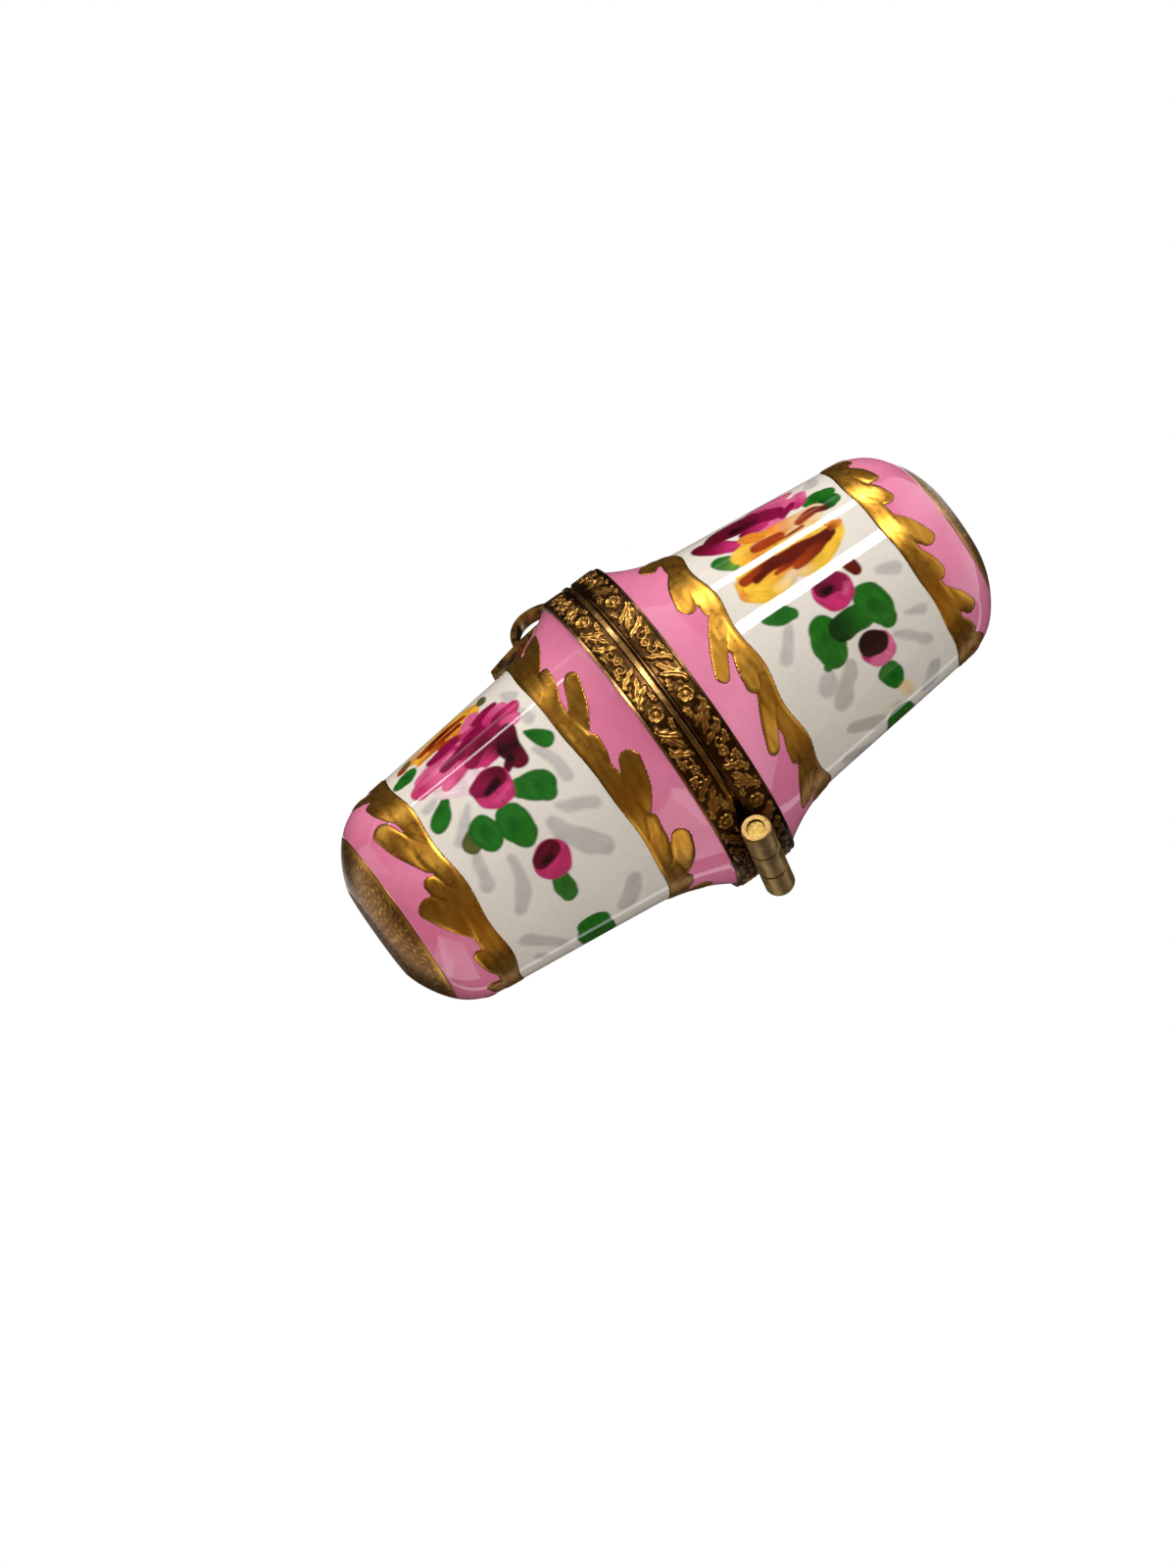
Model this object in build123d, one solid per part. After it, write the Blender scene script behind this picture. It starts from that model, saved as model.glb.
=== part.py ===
from build123d import *
import math
import os

# A small porcelain case for one sewing thimble. Two tapered porcelain cups meet mouth to mouth.
# Each mouth carries a brass mount ring with an embossed gallery band wrapped round it.
# A three-knuckle hinge joins the mounts at the back, and a sprung tongue clasps them at the front.
# The case stands on the flat foot of the lower cup: the origin is the centre of that foot, +Z is up
# along the case, the clasp is at -Y and the hinge is at +Y. All sizes are in millimetres.

# Porcelain cups
base_height = 27.4
lid_height = 27.4
rim_radius = 12.85
neck_radius = 10.6
neck_depth = 8.6
shoulder_radius = 9.05
shoulder_drop = 5.0
brow_radius = 7.3
brow_drop = 1.75
foot_radius = 4.0
wall = 1.7
end_wall = 2.0
flare_steps = 4
shoulder_steps = 3
dome_steps = 2
hollow_steps = 2

# Brass mount rings and gallery bands
mount_width = 2.6
collar_thickness = 0.15
band_thickness = 0.32
base_seat_thickness = 0.45
lid_seat_thickness = 0.3
base_lip_proud = 0.05
lid_lip_shy = 0.15
edge_lip_width = 0.2
edge_lip_shy = 0.1
lip_bevel = 0.12
seat_gap = 0.05

# Hinge barrel
knuckle_radius = 1.2
pin_radius = 0.72
barrel_length = 10.0
middle_knuckle_length = 3.3
knuckle_end_gap = 0.06
pin_recess = 0.25
pin_running_gap = 0.04
pin_fixed_gap = 0.01
swing_gap = 0.15
barrel_to_cup_gap = 0.02
barrel_edge_bevel = 0.12
scoop_length = 3.2
scoop_depth = 0.95
scoop_through_depth = 0.4
scoop_through_width = 0.9

# Clasp
strip_width = 1.4
tongue_thickness = 0.45
tongue_gap = 0.12
tongue_drop = 8.2
root_bottom = 0.9
root_top = 2.2
root_flex_gap = 0.05
loop_thickness = 0.5
loop_rise = 1.35
loop_start = 0.6
loop_apex = 3.6
loop_end = 5.3
tongue_tip_round = 0.2

# Catch bead
bead_radius = 0.45
bead_length = 1.0
bead_drop = 1.2
bead_bite = 0.03
bead_pocket_gap = 0.08

# Cutting tools, longer than any piece that they cut through
cutter_length = 20.0

# Sizes that follow from the ones above
collar_radius = rim_radius + collar_thickness
band_radius = collar_radius + band_thickness
hinge_y = rim_radius + barrel_to_cup_gap + knuckle_radius
seam_z = base_height
middle_half = middle_knuckle_length / 2
outer_start = middle_half + knuckle_end_gap
barrel_half = barrel_length / 2
tongue_swing = hinge_y + band_radius + tongue_gap


def ring_profile(points):
    """A closed polygon of (radius, height) points as a face in the XZ plane."""
    return Plane.XZ * make_face(Polyline(*points, close=True))


def spin(profile):
    """Turns a face of the XZ plane round the case's axis."""
    return revolve(profile, Axis.Z)


def arc_points(arc, steps):
    """Points along an arc, as many short straight steps."""
    points = [arc @ (step / steps) for step in range(steps + 1)]
    return [(point.X, point.Y) for point in points]


def cup_side(height, inset, steps):
    """A cup's side, mouth at the bottom: the flared mouth's points, the shoulder's start and the taper."""
    neck = (neck_radius - inset, neck_depth)
    shoulder = (shoulder_radius - inset, height - shoulder_drop)
    taper = (shoulder[0] - neck[0], shoulder[1] - neck[1])
    flare = TangentArc(neck, (rim_radius - inset, mount_width), tangent=(-taper[0], -taper[1]))
    return [*reversed(arc_points(flare, steps))], shoulder, taper


def cup_outside(height, seat):
    """Half section of a cup's outside: flare, taper, tight shoulder, shallow dome and flat foot."""
    flare, shoulder, taper = cup_side(height, 0, flare_steps)
    brow = (brow_radius, height - brow_drop)
    corner = TangentArc(shoulder, brow, tangent=taper)
    dome = TangentArc(brow, (foot_radius, height), tangent=corner % 1)
    corner_points = arc_points(corner, shoulder_steps)
    dome_points = arc_points(dome, dome_steps)[1:]
    return ring_profile(
        [(0, seat), (rim_radius, seat), *flare, *corner_points, *dome_points, (0, height)]
    )


def cup_hollow(height):
    """Half section of the room for the thimble: flare, taper and round end."""
    flare, shoulder, taper = cup_side(height, wall, hollow_steps)
    end = (foot_radius, height - end_wall)
    corner_points = arc_points(TangentArc(shoulder, end, tangent=taper), hollow_steps)
    return ring_profile([(0, 0), (rim_radius - wall, 0), *flare, *corner_points, (0, end[1])])


def porcelain_cup(height, seat):
    """One porcelain half, mouth down on the joint plane z = 0."""
    return spin(cup_outside(height, seat)) - spin(cup_hollow(height))


def mount_ring(bottom, seat, lip_radius):
    """Brass ring: a flat seat over the cup's edge, a collar down its rim and a thin lip at each side."""
    bore = rim_radius - wall
    edge_lip_radius = band_radius - edge_lip_shy
    edge_lip_start = mount_width - edge_lip_width
    return spin(
        ring_profile(
            [
                (bore, bottom),
                (lip_radius - lip_bevel, bottom),
                (lip_radius, bottom + lip_bevel),
                (lip_radius, seat),
                (collar_radius, seat),
                (collar_radius, edge_lip_start),
                (edge_lip_radius, edge_lip_start),
                (edge_lip_radius, mount_width),
                (rim_radius, mount_width),
                (rim_radius, seat),
                (bore, seat),
            ]
        )
    )


def gallery_band(seat):
    """Strip wrapped round the collar, between the ring's lips."""
    top = mount_width - edge_lip_width
    return spin(
        ring_profile(
            [
                (collar_radius, seat),
                (band_radius, seat),
                (band_radius, top),
                (collar_radius, top),
            ]
        )
    )


def bar_along_x(radius, x_from, x_to):
    """A round bar on the hinge axis, which crosses y = hinge_y in the joint plane."""
    bar = Cylinder(radius, x_to - x_from, rotation=(0, 90, 0))
    return Pos((x_from + x_to) / 2, hinge_y, 0) * bar


def hinge_scoop(depth, inner_radius):
    """Two wedges that bevel a mount's mating edge away towards the barrel, outside inner_radius."""
    far_x = barrel_half + scoop_length
    wedge = Plane.XZ * make_face(
        Polyline(
            (outer_start, 0),
            (far_x, 0),
            (barrel_half, depth),
            (outer_start, depth),
            close=True,
        )
    )
    wedge = extrude(wedge, amount=-(hinge_y + knuckle_radius))
    wedge = wedge - Cylinder(inner_radius, cutter_length)
    return wedge + mirror(wedge, about=Plane.YZ)


def cut_for_hinge(solid, own_outer_knuckles):
    """Cuts the barrel's bed into a mount: an exact seat for its own knuckles, a gap round the others."""
    own = knuckle_radius
    other = knuckle_radius + swing_gap
    middle_radius, outer_radius = (other, own) if own_outer_knuckles else (own, other)
    bed_end = barrel_half + swing_gap
    solid = solid - bar_along_x(middle_radius, -outer_start, outer_start)
    for side in (-1, 1):
        ends = sorted((side * outer_start, side * bed_end))
        solid = solid - bar_along_x(outer_radius, *ends)
    solid = solid - hinge_scoop(scoop_depth, collar_radius)
    return solid - hinge_scoop(scoop_through_depth, collar_radius - scoop_through_width)


def knuckle(bore_gap, x_from, x_to):
    """One tube of the hinge barrel."""
    tube = bar_along_x(knuckle_radius, x_from, x_to)
    rims = tube.edges().filter_by(GeomType.CIRCLE)
    return chamfer(rims, barrel_edge_bevel) - bar_along_x(pin_radius + bore_gap, x_from, x_to)


def on_lid(solid):
    """Moves a half that was modelled mouth down on z = 0 to the lid's place."""
    return Pos(0, 0, seam_z) * solid


def on_base(solid):
    """Turns such a half over, mouth up, and moves it to the base's place."""
    return Pos(0, 0, seam_z) * mirror(solid, about=Plane.XY)


def swing_point(radius, drop):
    """A point in the YZ plane at this distance from the hinge axis, on the clasp's side, below the seam."""
    return (hinge_y - math.sqrt(radius**2 - drop**2), seam_z - drop)


def swing_strip(inner_radius, thickness, top_drop, bottom_drop, width):
    """A strip whose faces are arcs round the hinge axis, so that it swings past the base at one distance."""
    outer_radius = inner_radius + thickness
    middle_drop = (top_drop + bottom_drop) / 2
    inner = [swing_point(inner_radius, drop) for drop in (top_drop, middle_drop, bottom_drop)]
    outer = [swing_point(outer_radius, drop) for drop in (bottom_drop, middle_drop, top_drop)]
    edges = [
        ThreePointArc(*inner),
        Line(inner[-1], outer[0]),
        ThreePointArc(*outer),
        Line(outer[-1], inner[0]),
    ]
    return extrude(Plane.YZ * make_face(Wire(edges)), width / 2, both=True)


def catch_bar(radius, length):
    """The round bar, across the front of the lower band, from which the bead and its pocket are cut."""
    top_y, bar_z = swing_point(tongue_swing + bead_bite, bead_drop)
    return Pos(0, top_y + bead_radius, bar_z) * Cylinder(radius, length, rotation=(0, 90, 0))


def clasp_tongue():
    """Sprung strip from the upper mount past the lower band and down along the flared neck."""
    top_drop = root_flex_gap - root_bottom
    strip = swing_strip(tongue_swing, tongue_thickness, top_drop, tongue_drop, strip_width)
    tip = strip.edges().filter_by(Axis.X).group_by(Axis.Z)[0]
    strip = fillet(tip, tongue_tip_round)
    return strip - catch_bar(bead_radius + bead_pocket_gap, cutter_length)


def thumb_loop():
    """Arched strip on the tongue that the thumb lifts: a long rise, then a tight curl at its lower end."""
    face_radius = tongue_swing + tongue_thickness
    start = swing_point(face_radius, loop_start)
    end = swing_point(face_radius, loop_end)
    apex = swing_point(face_radius + loop_rise, loop_apex)
    from_hinge = Vector(apex[0] - hinge_y, apex[1] - seam_z)
    upward = (-from_hinge.Y, from_hinge.X)
    upward = upward if upward[1] > 0 else (-upward[0], -upward[1])
    downward = (-upward[0], -upward[1])
    line = Wire([TangentArc(apex, start, tangent=upward), TangentArc(apex, end, tangent=downward)])
    strip = extrude(Plane.YZ * trace(line, loop_thickness), strip_width / 2, both=True)
    tongue_space = swing_strip(
        tongue_swing - tongue_thickness,
        2 * tongue_thickness,
        -root_top,
        tongue_drop,
        cutter_length,
    )
    return strip - tongue_space


def clasp_root():
    """The tongue's soldered end, bedded on the upper band."""
    outer_radius = tongue_swing + tongue_thickness
    block = swing_strip(
        tongue_swing - band_thickness,
        band_thickness + tongue_thickness,
        -root_top,
        -root_bottom,
        strip_width,
    )
    return block - Pos(0, 0, seam_z) * Cylinder(band_radius, cutter_length)


def catch_bead():
    """Half-round bead soldered to the lower band, under the tongue."""
    bar = catch_bar(bead_radius, bead_length)
    return bar - Pos(0, 0, seam_z) * Cylinder(band_radius, cutter_length)


base_lip = band_radius + base_lip_proud
lid_lip = band_radius - lid_lip_shy

base_ring = mount_ring(0, base_seat_thickness, base_lip)
lid_ring = mount_ring(seat_gap, lid_seat_thickness, lid_lip)
base_ring = cut_for_hinge(base_ring, own_outer_knuckles=True)
lid_ring = cut_for_hinge(lid_ring, own_outer_knuckles=False)
base_band = cut_for_hinge(gallery_band(base_seat_thickness), own_outer_knuckles=True)
lid_band = cut_for_hinge(gallery_band(lid_seat_thickness), own_outer_knuckles=False)

nodes = {
    "base_cup": on_base(porcelain_cup(base_height, base_seat_thickness)),
    "base_mount_ring": on_base(base_ring),
    "base_gallery_band": on_base(base_band),
    "base_knuckle_left": on_lid(knuckle(pin_fixed_gap, -barrel_half, -outer_start)),
    "base_knuckle_right": on_lid(knuckle(pin_fixed_gap, outer_start, barrel_half)),
    "hinge_pin": on_lid(bar_along_x(pin_radius, pin_recess - barrel_half, barrel_half - pin_recess)),
    "catch_bead": catch_bead(),
    "lid_cup": on_lid(porcelain_cup(lid_height, lid_seat_thickness)),
    "lid_mount_ring": on_lid(lid_ring),
    "lid_gallery_band": on_lid(lid_band),
    "lid_knuckle": on_lid(knuckle(pin_running_gap, -middle_half, middle_half)),
    "clasp_root": clasp_root(),
    "clasp_tongue": clasp_tongue(),
    "clasp_thumb_loop": thumb_loop(),
}

os.makedirs("parts", exist_ok=True)
for name, solid in nodes.items():
    export_step(solid, f"parts/{name}.step")
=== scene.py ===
import math

import bpy
import numpy as np
from mathutils import Matrix, Vector


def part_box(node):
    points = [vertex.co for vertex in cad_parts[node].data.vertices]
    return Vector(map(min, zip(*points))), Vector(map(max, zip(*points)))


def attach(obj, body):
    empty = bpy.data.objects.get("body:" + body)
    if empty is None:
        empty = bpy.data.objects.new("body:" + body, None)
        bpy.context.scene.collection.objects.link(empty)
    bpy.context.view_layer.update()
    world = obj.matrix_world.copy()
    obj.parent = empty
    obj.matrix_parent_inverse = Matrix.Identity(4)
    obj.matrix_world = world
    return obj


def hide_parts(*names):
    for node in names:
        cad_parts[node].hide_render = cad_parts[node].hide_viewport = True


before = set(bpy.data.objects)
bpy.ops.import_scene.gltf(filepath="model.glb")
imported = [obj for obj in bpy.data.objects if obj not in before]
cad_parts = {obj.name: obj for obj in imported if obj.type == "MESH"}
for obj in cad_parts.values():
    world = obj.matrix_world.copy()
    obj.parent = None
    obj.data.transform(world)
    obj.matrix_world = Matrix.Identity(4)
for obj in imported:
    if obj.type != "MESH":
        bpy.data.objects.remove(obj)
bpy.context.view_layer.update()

MM = 0.001
SCENE = bpy.context.scene

# Sizes of the case, in millimetres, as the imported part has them. Each half is as tall as the seam
# lies high.
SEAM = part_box("base_mount_ring")[1].z / MM
RIM_RADIUS = 12.85
NECK = (10.6, 8.6)
SHOULDER = (9.05, SEAM - 5)
BROW = (7.3, SEAM - 1.75)
FOOT_RADIUS = 4
MOUNT_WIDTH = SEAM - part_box("base_mount_ring")[0].z / MM
COLLAR_RADIUS = 13
BAND_RADIUS = 13.32
HINGE_Y = 14.07
BARREL_HALF = 5
BARREL_ROOM = 1.35
SCOOP_END = 8.2
SCOOP_LENGTH = 3.2
SCOOP_DEPTH = 0.95

# The painting. Places on the glaze are (a, d): a is the angle round the case times PAINT_RADIUS,
# from +X towards the hinge, and d is the depth from the seam, both in millimetres.
PAINT_RADIUS = 10
TURN = 2 * math.pi
ROUND = TURN * PAINT_RADIUS
HALF_ROUND = ROUND / 2
ZONES = {"base": (6.9, 20.9, 25.4), "lid": (7.1, 21.95, 26.3)}
WALL = 1.7
END_WALL = 2
LINING_START = 0.5
LINING_LIFT = (0.08, 0.3)
SKIN_LIFT = 0.05
SKIN_THICKNESS = 0.25
END_LIFT = 0.01
FLOOR_DROP = 0.03

# How finely the glaze is meshed: points round the case, and steps along it in millimetres
AROUND = 660
LINING_AROUND = 220
PINK_STEP = 0.12
PANEL_STEP = 0.105
END_STEP = 0.08
LINING_STEP = 0.6
FLAT_ROWS = 24
CORNER_ROWS = 14
AXIS_GAP = 0.02


def srgb(r, g, b):
    """A colour given from 0 to 255, as linear values."""
    c = np.array([r, g, b], float) / 255
    return np.where(c <= 0.04045, c / 12.92, ((c + 0.055) / 1.055) ** 2.4)


PINK = srgb(240, 138, 172)
PINK_DEEP = srgb(226, 110, 152)
WHITE = srgb(238, 229, 216)
GREY = srgb(176, 170, 168)
WARM_GREY = srgb(168, 156, 138)
GREEN = srgb(34, 112, 30)
GREEN_DARK = srgb(8, 56, 14)
GREEN_LIGHT = srgb(96, 148, 56)
OLIVE = srgb(92, 98, 44)
PALE = srgb(244, 214, 218)
BLUSH = srgb(228, 104, 150)
ROSE = srgb(198, 48, 108)
RED = srgb(140, 16, 66)
WINE = srgb(98, 8, 36)
PLUM = srgb(34, 2, 12)
ORANGE = srgb(236, 140, 44)
YELLOW = srgb(250, 196, 60)
CREAM = srgb(240, 206, 160)
RUST = srgb(164, 58, 14)
BROWN = srgb(98, 20, 6)
GOLD = srgb(186, 128, 40)
GOLD_DARK = srgb(84, 44, 10)
GOLD_LIGHT = srgb(218, 166, 68)


# Smooth repeatable noise


def noise(x, y, seed, scale, count=7):
    """Soft noise of about unit size over a plane, made of sine waves."""
    rng = np.random.default_rng(seed)
    angle = rng.uniform(0, TURN, count)
    frequency = TURN / scale * rng.uniform(0.6, 1.6, count)
    phases = rng.uniform(0, TURN, count)
    total = np.zeros(np.broadcast(x, y).shape)
    for wx, wy, phase in zip(np.cos(angle) * frequency, np.sin(angle) * frequency, phases):
        total += np.sin(wx * x + wy * y + phase)
    return total / math.sqrt(count)


def ring_noise(theta, d, seed, scale, count=9):
    """The same kind of noise, closed round the case."""
    rng = np.random.default_rng(seed)
    total = np.zeros(np.broadcast(theta, d).shape)
    highest = max(2, int(TURN * PAINT_RADIUS / scale))
    for _ in range(count):
        turns = rng.integers(1, highest + 1)
        along = TURN / scale * rng.uniform(-1, 1)
        total += np.sin(turns * theta + along * d + rng.uniform(0, TURN))
    return total / math.sqrt(count)


def ease(low, high, value):
    """A smooth step: 0 up to low, 1 from high on."""
    t = np.clip((value - low) / (high - low), 0, 1)
    return t * t * (3 - 2 * t)


def blend(first, second, share):
    return first + (second - first) * share[..., None]


# The cup's outline


def tangent_circle(start, tangent, end):
    """Centre and radius of the circle through start and end with this tangent at start."""
    start, tangent, end = (np.array(v, float) for v in (start, tangent, end))
    normal = np.array([-tangent[1], tangent[0]]) / np.hypot(*tangent)
    chord = end - start
    radius = chord @ chord / (2 * chord @ normal)
    return start + radius * normal, abs(radius)


TAPER = (SHOULDER[0] - NECK[0], SHOULDER[1] - NECK[1])
FLARE_CENTRE, FLARE_RADIUS = tangent_circle(NECK, TAPER, (RIM_RADIUS, MOUNT_WIDTH))
CORNER_CENTRE, CORNER_RADIUS = tangent_circle(SHOULDER, TAPER, BROW)
ACROSS_BROW = BROW - CORNER_CENTRE
DOME_START = (-ACROSS_BROW[1], ACROSS_BROW[0])
DOME_CENTRE, DOME_RADIUS = tangent_circle(BROW, DOME_START, (FOOT_RADIUS, SEAM))
HOLLOW_START = (SHOULDER[0] - WALL, SHOULDER[1])
HOLLOW_END = (FOOT_RADIUS, SEAM - END_WALL)
HOLLOW_CENTRE, HOLLOW_RADIUS = tangent_circle(HOLLOW_START, TAPER, HOLLOW_END)


def circle_radius(centre, radius, depth, side):
    """Distance from the axis of a circle's point at a depth, on its inner or outer side."""
    return centre[0] + side * np.sqrt(np.maximum(radius**2 - (depth - centre[1]) ** 2, 0))


def cup_radius(depth):
    """Outer radius of a cup at a depth from the seam."""
    d = np.asarray(depth, float)
    flare = circle_radius(FLARE_CENTRE, FLARE_RADIUS, d, -1)
    taper = NECK[0] + (d - NECK[1]) * TAPER[0] / TAPER[1]
    corner = circle_radius(CORNER_CENTRE, CORNER_RADIUS, d, 1)
    dome = circle_radius(DOME_CENTRE, DOME_RADIUS, d, 1)
    r = np.where(d < NECK[1], flare, np.where(d < SHOULDER[1], taper, corner))
    r = np.where(d > BROW[1], dome, r)
    return np.where(d < MOUNT_WIDTH, RIM_RADIUS, r)


def rise(half, depth):
    """Height above the foot of a point at a depth from the seam."""
    return SEAM - depth if half == "base" else SEAM + depth


# Meshes


def fill(items, key, values, kind):
    """Set one value of every item of a mesh at once."""
    items.foreach_set(key, values.astype(kind).ravel())


def mesh_object(name, points_mm, faces, colours=None, uv=None):
    """A smooth mesh object from points in millimetres and faces of four."""
    mesh = bpy.data.meshes.new(name)
    points = np.asarray(points_mm) * MM
    loop_starts = np.arange(0, faces.size, faces.shape[1])
    mesh.vertices.add(len(points))
    mesh.loops.add(faces.size)
    mesh.polygons.add(len(faces))
    fill(mesh.vertices, "co", points, np.float32)
    fill(mesh.loops, "vertex_index", faces, np.int32)
    fill(mesh.polygons, "loop_start", loop_starts, np.int32)
    fill(mesh.polygons, "use_smooth", np.ones(len(faces)), bool)
    mesh.update(calc_edges=True)
    if colours is not None:
        whole = np.insert(np.reshape(colours, (-1, 3)), 3, 1, axis=1)
        fill(mesh.color_attributes.new("paint", "FLOAT_COLOR", "POINT").data, "color", whole, np.float32)
    if uv is not None:
        fill(mesh.uv_layers.new(name="OFBake").data, "uv", uv, np.float32)
    obj = bpy.data.objects.new(name, mesh)
    SCENE.collection.objects.link(obj)
    return obj


def wrapped_faces(rows, columns, flip):
    """Quads and UVs of a grid that closes both ways."""
    row, column = np.indices((rows, columns))
    corners = [(row, column), (row, column + 1), (row + 1, column + 1), (row + 1, column)]
    if flip:
        corners.reverse()
    quads = np.stack([(r % rows) * columns + c % columns for r, c in corners], axis=-1)
    uv = np.stack([np.stack([c / columns, r / rows], axis=-1) for r, c in corners], axis=-2)
    return quads.reshape(-1, 4), uv.reshape(-1, 2)


def around_points(theta, radius, z):
    """Points from cylinder coordinates, in millimetres."""
    return np.stack([radius * np.cos(theta), radius * np.sin(theta), z], axis=-1)


def grid(around, depths):
    """Angles and depths of a grid with this many points round the case."""
    return np.meshgrid(np.arange(around) / around * TURN, depths)


ENDS = [-1, 0]


def with_ends(rows):
    """A grid's rows, then its last and its first again for the ring's back."""
    return np.vstack([rows, rows[ENDS]])


def wobble(theta, d, half):
    """The slight unevenness of hand-dipped glaze, in millimetres."""
    seed = 11 if half == "base" else 12
    return 0.012 * ring_noise(theta, d, seed, 14) + 0.003 * ring_noise(theta, d, seed + 7, 5)


def closed_ring(name, half, theta, radius, depth, colour=None):
    """A piece from a grid round the case whose last row joins its first."""
    points = around_points(theta, radius, rise(half, depth)).reshape(-1, 3)
    faces, uv = wrapped_faces(*theta.shape, flip=half == "base")
    obj = mesh_object(name, points, faces, colour, uv)
    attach(obj, half)
    return obj


def skin(name, half, radii, depths, painter):
    """A closed ring of glaze over one zone of a cup, painted by painter(theta, depth)."""
    theta, depth = grid(AROUND, depths)
    radius = np.repeat(np.asarray(radii)[:, None], AROUND, axis=1)
    on_side = ease(FOOT_RADIUS - 1, FOOT_RADIUS + 1, radius)
    outer = radius + (SKIN_LIFT + wobble(theta, depth, half)) * on_side
    inner = np.maximum(radius[ENDS] - SKIN_THICKNESS, radius.min() / 2)
    inner_depth = depth[ENDS] - (1 - on_side[ENDS]) * SKIN_THICKNESS
    colour = painter(theta, depth)
    radius, depth = np.vstack([outer, inner]), np.vstack([depth, inner_depth])
    obj = closed_ring(name, half, with_ends(theta), radius, depth, with_ends(colour))
    return obj


# Painting


def curve_through(path, per_span=5):
    """A smooth run of points through the given ones."""
    points = np.array(path, float)
    if len(points) < 3:
        return points
    padded = np.vstack([2 * points[0] - points[1], points, 2 * points[-1] - points[-2]])
    curve = [points[0]]
    for before, a, b, after in zip(padded, padded[1:], padded[2:], padded[3:]):
        for step in range(1, per_span + 1):
            t = step / per_span
            bend = (2 * before - 5 * a + 4 * b - after) * t**2 + (3 * a - before - 3 * b + after) * t**3
            curve.append(0.5 * (2 * a + (b - before) * t + bend))
    return np.array(curve)


def along_path(x, y, path):
    """For points (x, y): distance to a path, share of its length reached, signed side, and its length."""
    spans = np.diff(path, axis=0)
    lengths = np.maximum(np.hypot(*spans.T), 1e-6)
    whole = lengths.sum()
    gap = np.full(x.shape, np.inf)
    share = np.zeros(x.shape)
    side = np.zeros(x.shape)
    done = 0
    for start, span, length in zip(path, spans, lengths):
        ux, uy = span / length
        dx, dy = x - start[0], y - start[1]
        reached = np.clip(dx * ux + dy * uy, 0, length)
        distance = np.hypot(dx - reached * ux, dy - reached * uy)
        closer = distance < gap
        gap = np.where(closer, distance, gap)
        share = np.where(closer, (done + reached) / whole, share)
        side = np.where(closer, dy * ux - dx * uy, side)
        done += length
    return gap, share, side, whole


# Runs of colours that come back, and how the strokes of a spray are laid
EVEN = (0.25, 0.25)
GLOW = [YELLOW, ORANGE, YELLOW]
EARTH = [RUST, BROWN]
DEEP = [WINE, RED]
SOFT_PINK = [ROSE, BLUSH]
SHADOW = {"soft": 0.22, "alpha": 0.62, "rim": 0.06, "streak": 0.04, "ends": (0.45, 0.1)}
PETAL = {"rim": 0.12, "swell": 1.22}
BODY = {"ends": (0, 0)}
HEART = {"ends": (0.1, 0.1)}
CORE = {"soft": 0.2, "rim": 0}
GLINT = {"soft": 0.25, "alpha": 0.5, "rim": 0}
STAIN = {"soft": 0.3, "alpha": 0.5, "rim": 0}


class Canvas:
    """Colours of a stretch of glaze, painted stroke by stroke in the painting's places."""

    def __init__(self, theta, depth, ground):
        self.a = theta * PAINT_RADIUS
        self.d = depth
        self.colour = np.broadcast_to(ground, theta.shape + (3,)).copy()
        self.turn = 0
        self.seed = 100

    def stroke(
        self, width, colours, *flat, soft=0.08, alpha=1, rim=0.22, streak=0.09, ends=(0.3, 0.3), swell=1
    ):
        """One brush stroke through flat, the a and d of its places. rim darkens its edge, streak is the
        strength of the bristle marks and ends say how much it narrows at its start and end."""
        width = width * swell
        self.seed += 1
        curve = curve_through(np.reshape(flat, (-1, 2)))
        x = (self.a - curve[0, 0] - self.turn + HALF_ROUND) % ROUND - HALF_ROUND
        y = self.d - curve[0, 1]
        curve = curve - curve[0]
        low = curve.min(axis=0) - width
        high = curve.max(axis=0) + width
        near = (x > low[0]) & (x < high[0]) & (y > low[1]) & (y < high[1])
        if not near.any():
            return
        x, y = x[near], y[near]
        gap, share, side, whole = along_path(x, y, curve)
        belly = 1 - ends[0] * (1 - share) ** 2 - ends[1] * share**2
        inside = width / 2 * belly - gap + 0.08 * noise(x, y, self.seed, 2.6)
        mask = alpha * ease(-soft, soft, inside)
        runs = np.reshape(colours, (-1, 3)).T
        stops = np.linspace(0, 1, len(runs[0]))
        colour = np.stack([np.interp(share, stops, run) for run in runs], axis=-1)
        edge = np.exp(-np.maximum(inside, 0) / 0.13)
        bristles = noise(side * 4, share * whole * 0.5, self.seed + 50, 2.2)
        cloud = noise(x, y, self.seed + 90, 1.7)
        tone = (1 - rim * edge) * (1 + streak * bristles + 0.07 * cloud)
        colour = np.clip(colour * tone[:, None], 0, 1)
        self.colour[near] = blend(self.colour[near], colour, mask)

    def leaf(self, width, a, d, end_a, end_d, ends=EVEN, colours=(GREEN,)):
        """A short fat green stroke with a darker heart."""
        self.stroke(width, colours, a, d, end_a, end_d, rim=0.35, ends=ends)
        heart = ((2 * a + end_a) / 3, (2 * d + end_d) / 3, end_a, end_d)
        self.stroke(width * 0.5, [GREEN_DARK, colours[-1]], *heart, soft=0.35, alpha=0.45, rim=0)


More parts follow.
